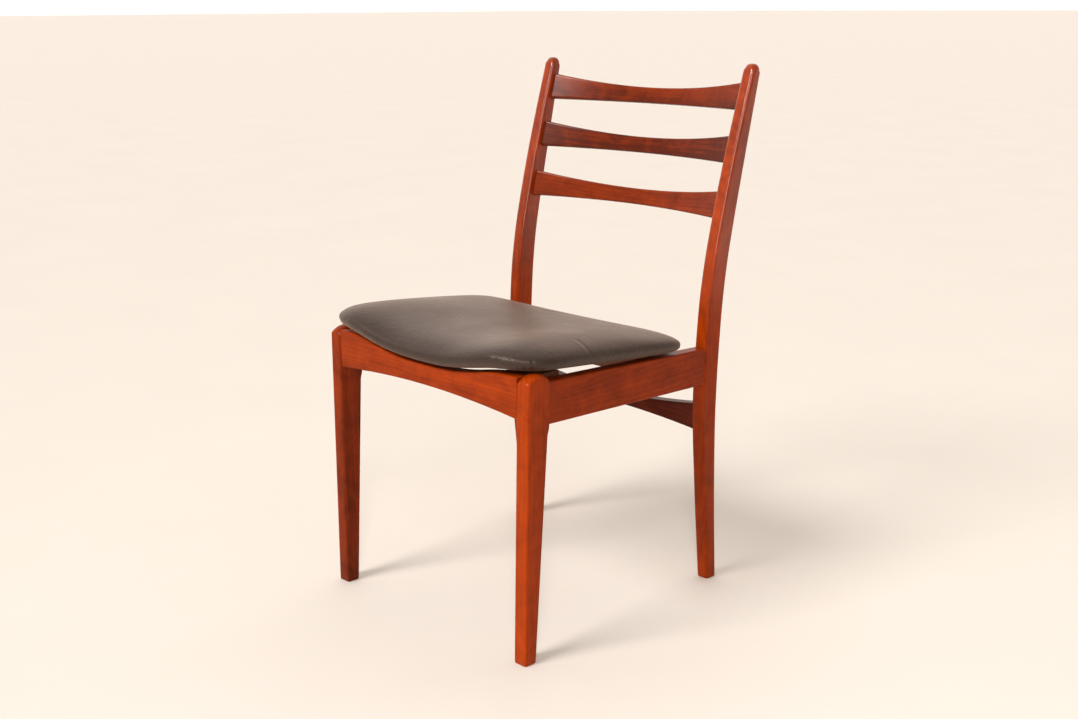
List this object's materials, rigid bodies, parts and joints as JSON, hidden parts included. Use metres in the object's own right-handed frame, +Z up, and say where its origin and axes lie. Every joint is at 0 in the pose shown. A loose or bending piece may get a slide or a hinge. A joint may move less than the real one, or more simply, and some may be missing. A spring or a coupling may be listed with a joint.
{
  "type": "dining chair",
  "caption": "Ladder-back dining chair: wooden frame with swept-back posts, bowed waisted slats, scooped front rail and a floating saddle-shaped leather seat.",
  "frame": {"origin": "on the floor, below the middle of the chair's bounding box", "axes": "+Z up, -Y towards the front of the seat, +X towards the sitter's left"},
  "size_m": [0.452, 0.5266, 0.8053],
  "materials": {
    "frame_wood": "satin",
    "beech": "matte",
    "plywood": "matte",
    "leather": "satin",
    "foam": "matte",
    "cloth": "matte",
    "steel": "satin"
  },
  "bodies": {
    "root": {"front_leg_left": "frame_wood", "front_leg_right": "frame_wood", "rear_leg_left": "frame_wood", "rear_leg_right": "frame_wood", "front_rail": "frame_wood", "side_rail_left": "frame_wood", "side_rail_right": "frame_wood", "rear_rail": "frame_wood", "back_slat_top": "frame_wood", "back_slat_middle": "frame_wood", "back_slat_lower": "frame_wood", "rear_bearer": "beech", "corner_block_left": "beech", "corner_block_right": "beech", "block_screw_to_front_rail_left": "steel", "block_screw_to_front_rail_right": "steel", "block_screw_to_side_rail_left": "steel", "block_screw_to_side_rail_right": "steel", "seat_screw_front_left": "steel", "seat_screw_front_right": "steel", "seat_screw_rear_left": "steel", "seat_screw_rear_right": "steel", "dowel_front_rail_upper_left": "beech", "dowel_front_rail_upper_right": "beech", "dowel_front_rail_lower_left": "beech", "dowel_front_rail_lower_right": "beech", "dowel_side_rail_front_upper_left": "beech", "dowel_side_rail_front_upper_right": "beech", "dowel_side_rail_front_lower_left": "beech", "dowel_side_rail_front_lower_right": "beech", "dowel_side_rail_rear_upper_left": "beech", "dowel_side_rail_rear_upper_right": "beech", "dowel_side_rail_rear_lower_left": "beech", "dowel_side_rail_rear_lower_right": "beech", "dowel_rear_rail_upper_left": "beech", "dowel_rear_rail_upper_right": "beech", "dowel_rear_rail_lower_left": "beech", "dowel_rear_rail_lower_right": "beech", "dowel_bearer_left": "beech", "dowel_bearer_right": "beech", "seat_board": "plywood", "foam_pad": "foam", "leather_cover": "leather", "dust_cloth": "cloth"}
  },
  "joints": []
}
